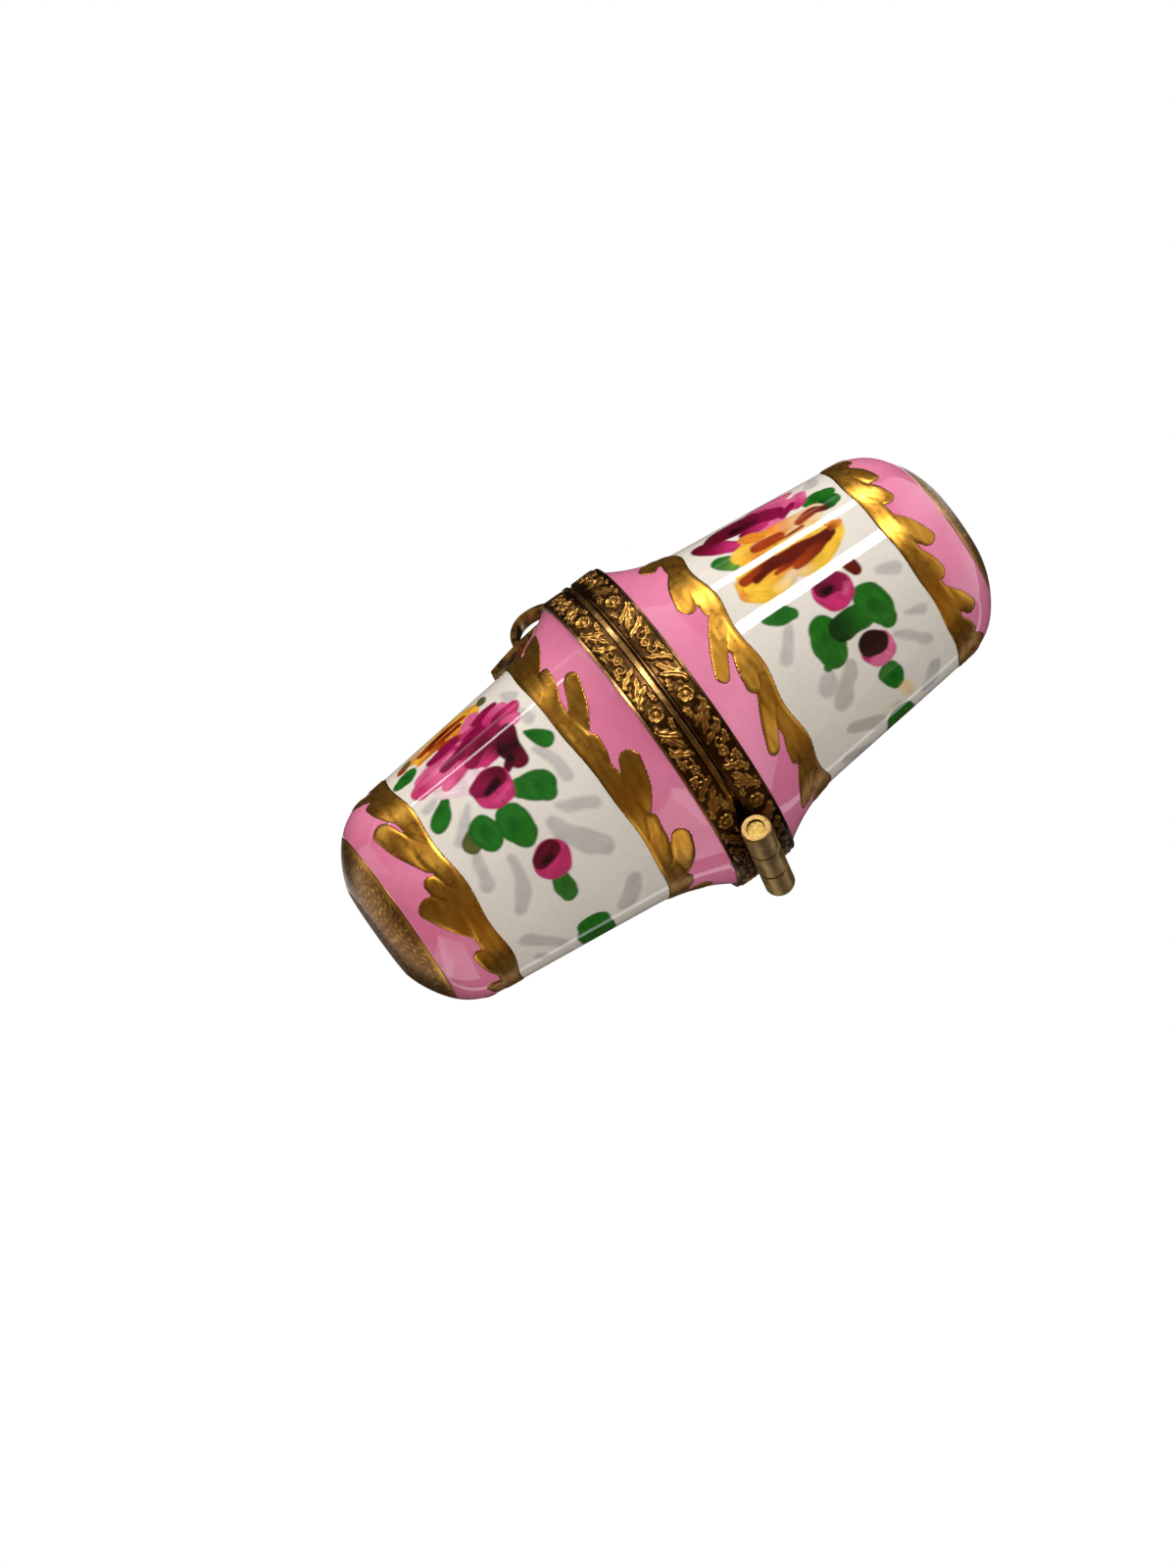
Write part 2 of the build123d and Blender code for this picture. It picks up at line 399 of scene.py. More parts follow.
# The sprays, a stroke in each row: its width, its colours, then a and d of each place on its path.
# A leaf's row goes on with how much it narrows at its ends and its colours, where it has its own.
# Washes and buds begin with how they are laid.
BASE_SHADOWS = (
    (1.1, GREY, 0.5, 10, 2, 9.4, 3.5, 9.3),
    (1.1, GREY, 4.9, 11.2, 5.6, 10.2, 6.2, 8.9),
    (2, GREY, 5.8, 12.3, 7.4, 11.6, 9.2, 10.1),
    (1.9, GREY, 13.3, 9.3, 15.5, 10.7),
    (1.25, GREY, 6.1, 16.4, 8.3, 16.7, 10.1, 17.9),
    (1.2, GREY, 4.4, 18.4, 6.8, 19),
    (1.3, GREY, 16.3, 16.4, 14.8, 17.4, 13.2, 18.8),
    (0.8, GREY, 15.9, 18.7, 16.8, 18.2),
    (1.1, GREY, 0.8, 16.8, 1.9, 17.8, 2.8, 18.8),
    (1.1, GREY, -6.1, 9.3, -4.9, 8.9),
    (1, GREY, -3.2, 9.2, -1.9, 9),
    (0.9, GREY, -1.6, 18.4, -1.3, 19.4),
)
BASE_LEAVES = (
    (1.5, -1.2, 9.9, 0.35, 8.9, (0.7, 0.1)),
    (2.4, 2.1, 12.7, 2.9, 11.2, (0.3, 0.1)),
    (2.1, 2.4, 11.9, 3.6, 11.2),
    (2.1, 3.4, 18.2, 3, 16.6, EVEN, [OLIVE, GREEN]),
    (2.7, 2.8, 16.9, 4, 16.8),
    (3, 3.5, 14.7, 5.1, 14.5),
    (1.8, -0.7, 18, 0.45, 19.2, (0.5, 0.1)),
    (2.1, -6.1, 18.8, -5.9, 19.6),
    (2, 9.9, 14.1, 11.2, 14.2),
    (3.6, 15.8, 13.8, 19.3, 13.7),
)
BASE_WASHES = (
    ({"soft": 0.4}, 4.2, [ROSE, BLUSH, BLUSH], -4.6, 12, -3.9, 15, -3.7, 17.2),
)
BASE_PETALS = (
    (2.8, GLOW, -7.4, 12.6, -7.6, 14.8, -7.3, 16.8),
    (1.2, [ORANGE, YELLOW, ORANGE], -7.6, 11.5, -8.9, 12.8, -8.9, 14.8),
    (1.2, [YELLOW, CREAM, ORANGE], -8.9, 15, -9, 16.8, -7.8, 18.2),
    (1, [YELLOW, ORANGE, ORANGE], -7.4, 11.6, -6.3, 12.4, -6.2, 14),
    (1, [RUST, BROWN, RUST], -7.8, 12.8, -8, 15, -7.5, 17),
    (0.6, [BROWN, RUST], -7, 13.4, -7.1, 16.2),
    (1, RUST, -5.3, 14, -5.9, 15.4),
    (0.6, [RUST, ORANGE], -6.6, 15.2, -6.3, 17.6),
    (1.2, [OLIVE, RUST], -8.3, 18.3, -7.6, 18.9),
    (0.8, OLIVE, -8.3, 10.7, -7.4, 10.9),
    (2, PALE, -1.5, 13.7, -0.9, 15.6, -1.7, 17.3),
    (1.5, BLUSH, -6.5, 12.3, -5.6, 12.9, -4.9, 12.6),
    (1, [BLUSH, ROSE], -4.8, 10.3, -4.9, 13.6),
    (1.6, SOFT_PINK, -4.5, 15.2, -4.3, 18.2),
    (2.2, [BLUSH, BLUSH, ROSE], -3.6, 15.4, -3.4, 17.4, -3.3, 18.7),
    (1.2, SOFT_PINK, -2.6, 14.4, -1.9, 17),
    (1.1, RED, -5.7, 10.5, -5.4, 12.3),
    (1.9, [ROSE, RED, RED], -3.8, 9.6, -4.1, 12.2, -3.7, 14.6),
    (0.9, [ROSE, RED], -2.9, 9.6, -3.3, 11.2),
    (1.1, RED, -5.4, 14.4, -5.4, 16.9),
    (0.9, DEEP, -3.9, 13.6, -3.5, 16.4),
    (1.6, [RED, WINE, WINE], -3.3, 13.8, -2.8, 12, -2.3, 10.9),
    (1, DEEP, -2.1, 11.4, -2.3, 14.6),
    (0.8, ROSE, -1.3, 12.8, -1.9, 14.6),
    (1.4, [BLUSH, ROSE], -4.8, 10.1, -4.6, 11.4),
    (1.4, [ROSE, RED], -3.8, 9.5, -3.9, 10.9),
    (1.2, [BLUSH, ROSE], -2.9, 9.9, -3, 11),
    (1.4, [RED, WINE, RED], -3.2, 11.6, -2.6, 12.9, -2.2, 14.4),
    (1.2, [WINE, ROSE], -1.7, 12.2, -1.3, 13.6),
    (1.7, [WINE, PLUM, WINE], -2.3, 10.9, -1, 11.5, 0.3, 11.5),
    (0.9, [PLUM, WINE], -0.2, 12, 0.3, 12.6),
)
BASE_BUDS = (
    (BODY, 3.3, ROSE, 0.7, 14.4, 1, 14.4),
    (GLINT, 0.6, [BLUSH, ROSE], 1.5, 13.2, 1.9, 14.8, 1.3, 15.7),
    (HEART, 2, DEEP, 0.2, 13.7, 0.2, 15),
    (CORE, 0.8, PLUM, 0.6, 13.9, 0.9, 14.9),
    (BODY, 2.9, ROSE, 7.9, 13.7, 8.2, 14),
    (HEART, 1.75, WINE, 7.2, 13.5, 7.5, 14.5),
    (CORE, 0.9, PLUM, 7.8, 13.9, 7.9, 14.4),
)

LID_SHADOWS = (
    (1.1, GREY, 4.1, 11, 5.9, 9.5),
    (1.5, GREY, 8.5, 11.7, 9.7, 10.7),
    (1.7, WARM_GREY, 9.2, 13.4, 11.3, 11.3),
    (1.6, WARM_GREY, 14, 10.9, 14.9, 12.2, 16, 13.2),
    (1.7, GREY, 17, 9.6, 18.9, 11.4),
    (1, GREY, 9.5, 17.7, 11.8, 19.7),
    (1.8, GREY, 14.7, 19.2, 16.8, 18.2),
    (1.2, GREY, 4.4, 19.4, 5, 20.5),
    (0.9, GREY, 8.6, 19.3, 9.2, 20.5),
    (1.3, GREY, -8.6, 20, -7, 19.6),
)
LID_LEAVES = (
    (1.7, -3.8, 9.9, -2.8, 10.7, EVEN, [GREEN, GREEN_LIGHT]),
    (1.9, 2.6, 10.4, 3.4, 11.9, (0.1, 0.5)),
    (3.3, 5.8, 13.1, 7.6, 12.8),
    (1, 8.2, 11.8, 7.7, 12.8),
    (2.6, 6.4, 14.2, 6.6, 16.8, EVEN, [GREEN_DARK, GREEN]),
    (3, 5.6, 17.4, 8, 17.9, (0.2, 0.45)),
    (2.1, 11.9, 15.7, 13.4, 15.9, (0.1, 0.4)),
    (3.3, 17.4, 15.1, 20.6, 15.2),
    (2.3, -4.6, 18.8, -4.7, 19.9),
    (1.9, -3.3, 19.2, -3.5, 19.9, EVEN, [GREEN_DARK, GREEN]),
)
LID_WASHES = (
    (STAIN, 1.4, YELLOW, 14.3, 16.3, 15.5, 16.5),
    ({**STAIN, "alpha": 0.4}, 0.8, [YELLOW, OLIVE], 15.3, 14.4, 15.6, 15.2),
)
LID_PETALS = (
    (2, BLUSH, -8.5, 15, -8.3, 17.4),
    (2.5, SOFT_PINK, -7.2, 14.8, -6, 17.2),
    (1.4, [BLUSH, ROSE], -6.6, 18.4, -5.2, 17.6),
    (1.7, BLUSH, -4.5, 14.2, -4.5, 15.6),
    (1.9, [WINE, RED, ROSE], -6.8, 9.7, -5.6, 10.7, -4.8, 11.5),
    (1.8, DEEP, -8, 11.4, -7.9, 14.2),
    (2.4, [WINE, WINE, RED], -7.2, 11.2, -6.8, 14, -6.1, 15.8),
    (0.9, [PLUM, WINE], -6.6, 12.6, -6.5, 14.4),
    (1, [RED, ROSE], -5.3, 13, -5.1, 14.6),
    (0.8, RED, -5.8, 17.4, -4.9, 16.3),
    (2.2, [YELLOW, ORANGE, CREAM], -3.2, 11.6, -3.3, 18.2),
    (1.2, ORANGE, -4.8, 12.6, -4, 13.6),
    (3.2, GLOW, -0.5, 11.2, -0.6, 14, -0.5, 17.2),
    (1.1, GLOW, -1.4, 10.6, -2.3, 12.6, -1.8, 14.8),
    (1.1, [YELLOW, CREAM, YELLOW], -1.8, 14.6, -2.5, 16.6, -1.4, 18.4),
    (0.8, [ORANGE, YELLOW, YELLOW], -1.4, 18.5, -0.5, 18.9, 0.5, 18.2),
    (1.1, [YELLOW, YELLOW, CREAM], 0.4, 9.9, 1.3, 11.6, 0.9, 13.6),
    (1, [CREAM, YELLOW, YELLOW], 0.8, 13.8, 1.4, 15.8, 0.5, 17.8),
    (0.8, GLOW, -0.8, 10, 0.1, 9.7, 0.8, 10.2),
    (1.05, RUST, -3.1, 12.8, -2.9, 14.8),
    (0.9, EARTH, -3.1, 16.8, -3.5, 18.2, -3.2, 19),
    (0.3, [BROWN, RUST], -2.4, 14.2, -2.6, 16.8),
    (0.9, EARTH, -0.8, 10.4, -1.1, 13.4),
    (0.7, BROWN, -0.4, 11.3, -0.7, 14.2),
    (0.6, EARTH, 0, 12.8, -0.5, 15.6),
    (1.1, BROWN, -0.9, 12.6, -0.6, 18),
    (0.9, EARTH, 0.4, 14.4, -0.2, 17.7),
    (0.5, [RUST, ORANGE], -0.9, 18.4, -1, 19.2),
    (1.1, BROWN, 2.3, 17.6, 3.3, 17.8),
)
LID_BUDS = (
    (BODY, 3.1, ROSE, 3.5, 15.4, 3.8, 15.6),
    (HEART, 1.7, DEEP, 3.1, 15, 3.2, 16.2),
    (CORE, 0.9, PLUM, 3.4, 14.9, 3.4, 15.5),
    ({**GLINT, "alpha": 0.7}, 0.5, BLUSH, 3.8, 16.6, 4.3, 16.2),
    (BODY, 2.7, SOFT_PINK, 9.3, 15.8, 9.8, 16),
    (BODY, 2.1, PLUM, 8.8, 15.5, 9, 16),
)

SPRAYS = {
    "base": (BASE_SHADOWS, BASE_LEAVES, BASE_WASHES, BASE_PETALS, BASE_BUDS),
    "lid": (LID_SHADOWS, LID_LEAVES, LID_WASHES, LID_PETALS, LID_BUDS),
}


def paint_spray(canvas, spray):
    """A spray of roses: shadows first, then leaves, washes, the two roses and the buds."""
    shadows, leaves, washes, petals, buds = spray
    for row in shadows:
        canvas.stroke(*row, **SHADOW)
    for row in leaves:
        canvas.leaf(*row)
    for style, *row in washes:
        canvas.stroke(*row, **style)
    for row in petals:
        canvas.stroke(*row, **PETAL)
    for style, *row in buds:
        canvas.stroke(*row, **style)


def panel_painter(spray):
    """White panel with the same spray on both sides of the case."""

    def paint(theta, depth):
        canvas = Canvas(theta, depth, WHITE)
        canvas.colour *= 1 + 0.012 * ring_noise(theta, depth, 31, 6)[..., None]
        for turn in (0, HALF_ROUND):
            canvas.turn = turn
            paint_spray(canvas, spray)
        return np.clip(canvas.colour, 0, 1)

    return paint


def pink_painter(theta, depth):
    """Pink ground, a little deeper and lighter in places where the brush overlapped."""
    cloud = ease(-1.6, 1.8, ring_noise(theta, depth, 41, 7))
    fine = 0.02 * ring_noise(theta, depth, 42, 1.6)
    colour = blend(PINK_DEEP, PINK, 0.55 + 0.45 * cloud)
    return np.clip(colour * (1 + fine)[..., None], 0, 1)


def gilt_painter(radii):
    """Painter of an end with these radii: brushed gilding, worn in spots, dark beside the pink."""

    def paint(theta, depth):
        x = radii[:, None] * np.cos(theta)
        y = radii[:, None] * np.sin(theta)
        inward = radii[0] - radii[:, None] + depth - depth.min()
        brush = ease(-1.5, 1.5, noise(x, y, 51, 3.2, count=14))
        worn = ease(-2.4, 0.5, noise(x, y, 53, 0.55, count=24)) * ease(0.25, 0.9, inward)
        colour = blend(blend(GOLD, GOLD_LIGHT, brush), GOLD_DARK, 0.85 * worn)
        return colour * (1 - 0.7 * np.exp(-inward / 0.14))[..., None]

    return paint


# Gilt borders: a ribbon with a plain edge on the white panel, and fingers that reach over the pink.
# Each finger has a and d of its root, those of its tip, and its width.
BASE_NECK = (
    (-5.4, 6.6, -8.7, 5.1, 1.5),
    (-1.2, 7, -4.1, 6, 0.95),
    (1.6, 6.7, -1.7, 4.8, 1.35),
    (4.8, 6.9, 2.7, 6.2, 1),
    (8.6, 6.7, 5.3, 4.9, 1.7),
    (12, 6.9, 9.5, 6, 1),
    (15.2, 6.4, 11.7, 4.8, 1.45),
    (18.6, 6.7, 16.2, 5.9, 1),
    (21.8, 6.6, 18.8, 4.9, 1.4),
)
BASE_END = (
    (-7.2, 21.4, -10, 23.1, 1.3),
    (-3, 21.4, -6.3, 22.3, 1.3),
    (2.6, 21.4, -2.6, 23.1, 1.6),
    (6.8, 21.4, 4.1, 22.4, 1.3),
    (9.2, 21.3, 5.8, 23.5, 2),
    (13.4, 21.2, 10.9, 21.6, 0.9),
    (15.8, 21.1, 11.9, 22.4, 1.15),
    (20.4, 21.1, 16.8, 22.6, 1.25),
)
LID_NECK = (
    (-9.8, 7.1, -7.1, 5.4, 1.4),
    (-7.8, 7.5, -5.5, 6.9, 1.1),
    (-5.2, 7.3, -1.4, 5.7, 1.5),
    (-2.6, 7.5, -0.3, 6.9, 1),
    (0.6, 7.1, 4.2, 4.6, 1.2),
    (3.2, 7.2, 5.9, 6.2, 1.3),
    (6.4, 7, 10.2, 4.8, 1.2),
    (9.8, 7, 12.2, 6.1, 1.3),
    (12.8, 6.8, 16.8, 5.2, 1.4),
    (15.6, 7.4, 19, 6.4, 1.3),
)
LID_END = (
    (-9.6, 22, -7.4, 22.7, 1.3),
    (-6.2, 22, -3.4, 23.4, 1.25),
    (-2.8, 22, -0.6, 23.2, 1.4),
    (1.4, 22, 4.5, 23.9, 1.45),
    (5.2, 22.1, 7.5, 23, 1.4),
    (9.2, 22.3, 12.3, 23.9, 1.25),
    (12.2, 21.9, 14.8, 22.9, 1.3),
    (14.8, 22, 17.7, 23.4, 1.35),
    (18.2, 22, 20.4, 23, 1.3),
)

# A border's side of the panel, the depth of its edge, the edge's waves (height, crests, the first
# crest's place) and its fingers
BORDERS = {
    "base": {
        "neck": (-1, 7.65, ((0.28, 2, -3), (0.05, 10, 1)), BASE_NECK),
        "end": (1, 20.3, ((0.15, 8, 9.6),), BASE_END),
    },
    "lid": {
        "neck": (-1, 7.8, ((0.26, 2, -4), (0.2, 10, 5.2)), LID_NECK),
        "end": (1, 21.3, ((0.2, 2, 8), (0.05, 12, 9.5)), LID_END),
    },
}
RIBBON_WIDTH = 1.6
RIBBON_WAVE = (0.12, 14, 2)
FINGER_SWELL = 1.25
GILT_STEP = 0.1
GILT_CATCH = 0.35 * GILT_STEP
GILT_PROBE = 0.3 * GILT_STEP
GILT_PUSH = 0.6 * GILT_STEP
GILT_REACH = 4
GILT_MARGIN = 0.3
GILT_AROUND = 640
GILT_LIFT = SKIN_LIFT + 0.015
GILT_HEIGHT = 0.055


def wave(a, height, count, peak):
    """A wave round the case with this many crests, one of them at a = peak."""
    return height * np.cos(count * (a - peak) / PAINT_RADIUS)


class GiltShape:
    """Signed distances to a border's ribbon and fingers, negative inside."""

    def __init__(self, direction, depth, waves, fingers):
        self.direction = direction
        self.depth = depth
        self.waves = waves
        self.fingers = [(*finger, turn) for turn in (0, HALF_ROUND) for finger in fingers]

    def edge(self, a):
        return sum((wave(a, *each) for each in self.waves), self.depth)

    def outward(self, a, d):
        """How far a place lies from the edge, on the side of the fingers."""
        return (d - self.edge(a)) * self.direction

    def ribbon(self, a, d):
        outward = self.outward(a, d)
        return np.maximum(-outward, outward - RIBBON_WIDTH - wave(a, *RIBBON_WAVE))

    def finger(self, a, d, root_a, root_d, tip_a, tip_d, width, turn):
        """Distance to one bowed finger, and the share of its length reached."""
        bend = 0.06 * self.direction
        middle_a = (root_a + tip_a) / 2 - bend * abs(tip_d - root_d)
        middle_d = (root_d + tip_d) / 2 + bend * abs(tip_a - root_a)
        curve = curve_through([(root_a, root_d), (middle_a, middle_d), (tip_a, tip_d)], per_span=3)
        x = (a - turn - curve[0, 0] + HALF_ROUND) % ROUND - HALF_ROUND
        gap, share, _, _ = along_path(x, d - curve[0, 1], curve - curve[0])
        return gap - width * FINGER_SWELL / 2 * (1 - 0.2 * share**2), share

    def distance(self, a, d):
        total = self.ribbon(a, d)
        for finger in self.fingers:
            total = np.minimum(total, self.finger(a, d, *finger)[0])
        return np.maximum(total, -self.outward(a, d))

    def relief(self, a, d):
        """Height from 0 to 1 of the laid strokes, and how dark their edges are."""
        height = ease(-0.02, 0.3, -self.ribbon(a, d))
        dark = np.zeros(a.shape)
        for finger in self.fingers:
            distance, share = self.finger(a, d, *finger)
            over = ease(0.05, -0.05, distance) * ease(0.1, 0.5, share)
            height = height * (1 - over) + np.maximum(ease(0, 0.3, -distance), 0.7) * over
            line = np.exp(-np.abs(distance + 0.04) / 0.07) * ease(0.25, 0.75, share)
            dark = np.maximum(dark * (1 - over), line)
        return height, dark


def gilt_border(name, half, shape):
    """Raised gilt border, cut from a grid whose rim is drawn onto the strokes' outline."""
    a_row = np.arange(GILT_AROUND) / GILT_AROUND * ROUND
    edge = shape.edge(a_row)
    before, after = (GILT_MARGIN, GILT_REACH)[:: shape.direction]
    d_column = np.arange(edge.min() - before, edge.max() + after, GILT_STEP)
    a, d = np.meshgrid(a_row, d_column)
    distance = shape.distance(a, d)
    inside = distance < GILT_CATCH
    padded = np.pad(inside, ((1, 1), (0, 0)))
    beside = np.roll(inside, -1, axis=1)
    rim = inside & ~(np.roll(inside, 1, axis=1) & beside & padded[2:] & padded[:-2])
    for _ in range(3):
        here = shape.distance(a[rim], d[rim])
        slope_a = (shape.distance(a[rim] + GILT_PROBE, d[rim]) - here) / GILT_PROBE
        slope_d = (shape.distance(a[rim], d[rim] + GILT_PROBE) - here) / GILT_PROBE
        steep = np.maximum(slope_a**2 + slope_d**2, 0.3)
        push = np.clip(here / steep, -GILT_PUSH, GILT_PUSH)
        push = np.where(np.abs(here) < 1.5 * GILT_STEP, push, 0)
        a[rim] -= push * slope_a
        d[rim] -= push * slope_d
    whole = inside[:-1] & inside[1:] & beside[:-1] & beside[1:]
    quads, _ = wrapped_faces(*inside.shape, flip=half == "base")
    quads = quads.reshape(*inside.shape, 4)[:-1][whole]
    used, index = np.unique(quads, return_inverse=True)
    top_faces = index.reshape(-1, 4)
    a, d = a.ravel()[used], d.ravel()[used]
    height, dark = shape.relief(a, d)
    inner = np.maximum(-shape.distance(a, d), 0)
    pillow = height * ease(-0.02, 0.22, inner)
    brush = noise(a * 0.5, d * 3, 61, 2.4)
    lift = GILT_LIFT + GILT_HEIGHT * pillow + 0.003 * brush * pillow
    theta = a / PAINT_RADIUS
    radius = cup_radius(d)
    top = around_points(theta, radius + wobble(theta, d, half) + lift, rise(half, d))
    bottom = around_points(theta, radius - SKIN_THICKNESS / 2, rise(half, d))
    count = len(used)
    faces = np.vstack([top_faces, top_faces[:, ::-1] + count, side_walls(top_faces, count)])
    tone = ease(-1.3, 1.3, brush)
    shade = np.maximum(0.85 * np.exp(-inner / 0.08), 0.4 * dark)
    colour = blend(blend(GOLD, GOLD_LIGHT, 0.55 * tone), GOLD_DARK, shade)
    obj = mesh_object(name, np.vstack([top, bottom]), faces, np.vstack([colour, colour]))
    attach(obj, half)
    return obj


def side_walls(quads, count):
    """Side faces that join a sheet's open edges to its copy, whose points are numbered count higher."""
    edges = np.concatenate([quads[:, [i, (i + 1) % 4]] for i in range(4)])
    low, high = edges.min(axis=1), edges.max(axis=1)
    _, first, uses = np.unique(low * (count + 1) + high, return_index=True, return_counts=True)
    a, b = edges[first[uses == 1]].T
    return np.stack([b, a, a + count, b + count], axis=-1)


# Materials

# Colour of painted shade: the hinge bed, the groove round the pin and the gaps between knuckles
BRASS_PAINTED_SHADE = srgb(20, 13, 8)
CEMENT = srgb(50, 36, 22)
CEMENTED = (0.36, 0.4)
KNUCKLE_JOINT = 1.68


class Tree:
    """The node tree of a material or the world, with short ways to add to it."""

    def __init__(self, owner):
        owner.use_nodes = True
        self.owner = owner
        self.nodes = owner.node_tree.nodes
        self.shader = self.nodes.get("Principled BSDF")

    def put(self, node, sockets):
        """Set a node's sockets to a number or a colour, or link them to another node's output."""
        for name, value in sockets.items():
            if isinstance(value, bpy.types.NodeSocket):
                self.owner.node_tree.links.new(value, node.inputs[name])
            else:
                whole = (*value, 1) if isinstance(value, np.ndarray) else value
                node.inputs[name].default_value = whole

    def add(self, kind, sockets, output=0, **settings):
        """Add a node and give one of its outputs."""
        node = self.nodes.new("ShaderNode" + kind)
        for name, value in settings.items():
            setattr(node, name, value)
        self.put(node, sockets)
        return node.outputs[output]

    def places(self):
        return self.add("TexCoord", {}, "Object")

    def noise(self, scale, detail=3, roughness=0.55, distortion=0):
        """Noise in object coordinates: scale is in features to the metre."""
        fineness = {"Scale": scale, "Detail": detail, "Roughness": roughness, "Distortion": distortion}
        return self.add("TexNoise", {"Vector": self.places(), **fineness}, "Fac")

    def mapped(self, value, low, high, to_low, to_high):
        ends = {"From Min": low, "From Max": high, "To Min": to_low, "To Max": to_high}
        return self.add("MapRange", {"Value": value, **ends})

    def mixed(self, factor, first, second, blend="MIX"):
        sockets = {0: factor, 6: first, 7: second}
        return self.add("Mix", sockets, 2, data_type="RGBA", blend_type=blend)

    def length(self, vector):
        return self.add("VectorMath", {0: vector}, "Value", operation="LENGTH")

    def distance_along(self, axis, places_mm):
        """Distance in metres along one axis: from the first place, then of that from the next one."""
        away = self.add("SeparateXYZ", {0: self.places()}, axis)
        for place in places_mm:
            moved = self.add("Math", {0: away, 1: place * MM}, operation="SUBTRACT")
            away = self.add("Math", {0: moved}, operation="ABSOLUTE")
        return away

    def hinge_distance(self, along):
        """Distance from the hinge axis in metres; along says how much places along the axis count."""
        hinge = (0, HINGE_Y * MM, SEAM * MM)
        shifted = self.add("VectorMath", {0: self.places(), 1: hinge}, operation="SUBTRACT")
        return self.length(self.add("VectorMath", {0: shifted, 1: (along, 1, 1)}, operation="MULTIPLY"))

    def paint(self):
        return self.add("Attribute", {}, "Color", attribute_name="paint")

    def finish(self, colour, gloss, gloss_range, grain, depth, grain_mm, **constants):
        """The shader's colour, a roughness that varies, a fine grain, and its constants."""
        rough = self.mapped(self.noise(*gloss), 0.3, 0.7, *gloss_range)
        uneven = {"Height": self.noise(*grain), "Strength": depth, "Distance": grain_mm * MM}
        constants.update({"Base Color": colour, "Roughness": rough, "Normal": self.add("Bump", uneven)})
        self.put(self.shader, constants)
        return self.owner


def new_tree(name):
    return Tree(bpy.data.materials.new(name))


def cemented_edge(tree):
    """White body whose edge, seen in the hinge bed, is brown with cement."""
    start, end = CEMENTED
    away = tree.distance_along("Z", (SEAM,))
    return tree.mixed(tree.mapped(away, start * MM, end * MM, 1, 0), WHITE, CEMENT)


def glaze_material(name, painted):
    """Clear glaze over paint, or over the white body inside the cups."""
    tree = new_tree(name)
    body = tree.paint() if painted else cemented_edge(tree)
    speck = tree.mapped(tree.noise(2600, 2), 0.3, 0.7, 0.97, 1.02)
    toned = tree.mixed(1, body, speck, "MULTIPLY")
    return tree.finish(toned, (420,), (0.03, 0.06), (900, 1), 0.05, 0.02, IOR=1.52)


def gilding_material():
    """Burnished gold, brushed on thinly."""
    tree = new_tree("gilding")
    streaks, grain = (1500, 4, 0.6, 0.6), (3200, 3, 0.6, 1.2)
    return tree.finish(tree.paint(), streaks, (0.24, 0.4), grain, 0.12, 0.03, Metallic=0.92)


def painted_shade_in_hinge_bed(tree):
    """Painted shade in the hinge bed: 1 in the bed beside the barrel, where shade falls, 0 away from it.
    """
    return tree.mapped(tree.hinge_distance(0.3), 1.4 * MM, 3.4 * MM, 0.92, 0)


def painted_shade_round_pin(tree):
    """Painted shade of the groove round the pin: 1 at the rim of the pin's end, 0 on its middle."""
    return tree.mapped(tree.hinge_distance(0), 0.58 * MM, 0.69 * MM, 0, 0.95)


def painted_shade_between_knuckles(tree):
    """Painted shade in the gap where two knuckles meet: 1 there, 0 along the rest."""
    away = tree.distance_along("X", (0, KNUCKLE_JOINT))
    return tree.mapped(away, 0.06 * MM, 0.2 * MM, 0.9, 0)


def brass_material(name, dark, bright, wear, gloss_range, grain, painted_shade=None, grime=None):
    """Aged brass: dark patina with worn bright places. Where grime is given, the colour is the painted
    relief's, and grime is how much dark lies over it. A given shade mask adds painted shade where
    neighbouring parts shade the brass."""
    tree = new_tree(name)
    patches = tree.mapped(tree.noise(700, 5, 0.6), *wear, 0, grime or 1)
    base = tree.mixed(patches, tree.paint(), dark) if grime else tree.mixed(patches, dark, bright)
    # Painted shade where neighbouring parts shade the brass
    if painted_shade is not None:
        base = tree.mixed(painted_shade(tree), base, BRASS_PAINTED_SHADE)
    fine = tree.mapped(tree.noise(4200, 3), 0.3, 0.7, 0.8, 1.1)
    toned = tree.mixed(1, base, fine, "MULTIPLY")
    return tree.finish(toned, (1800, 4), gloss_range, (3000, 4), grain, 0.03, Metallic=1)


# Embossed gallery bands


def rosette(x, y, radius, petals, spin):
    """Height of a small flower: petals round a beaded heart."""
    r = np.hypot(x, y) / radius
    angle = np.arctan2(y, x) + spin
    petal = np.abs(np.cos(petals * angle / 2))
    outline = 0.84 + 0.16 * petal
    body = ease(1.02, 0.86, r / outline)
    dish = 0.5 + 0.5 * ease(0.35, 0.85, r / outline)
    crease = 0.35 * ease(0.35, 0, petal) * ease(0.3, 0.5, r)
    heart = ease(0.34, 0.2, r)
    return body * np.clip(dish - crease + 0.55 * heart, 0, 1)


def carved_leaf(x, y, start, end, width, bend=0.3, lobes=3):
    """Height of a bowed acanthus leaf: a full body, soft side lobes and a sunk midrib."""
    run, drop = end[0] - start[0], end[1] - start[1]
    length = math.hypot(run, drop)
    ux, uy = run / length, drop / length
    t = ((x - start[0]) * ux + (y - start[1]) * uy) / length
    share = np.clip(t, 0, 1)
    curl = bend * np.sin(math.pi * share) + 0.4 * bend * np.sin(TURN * share)
    side = (y - start[1]) * ux - (x - start[0]) * uy - curl
    notch = np.cos(TURN * (lobes * t - 0.9 * np.abs(side)))
    half = width / 2 * np.sqrt(np.sin(math.pi * share**0.7)) * (1 + 0.2 * notch)
    across = np.clip(np.abs(side) / np.maximum(half, 0.05), 0, 1)
    dome = np.sqrt(1 - across**2) * ease(0, 0.12, t) * ease(1, 0.9, t)
    rib = 1 - 0.4 * ease(0.1, 0, np.abs(side))
    crease = 1 - 0.22 * across * ease(0.2, -0.9, notch)
    return dome * rib * crease


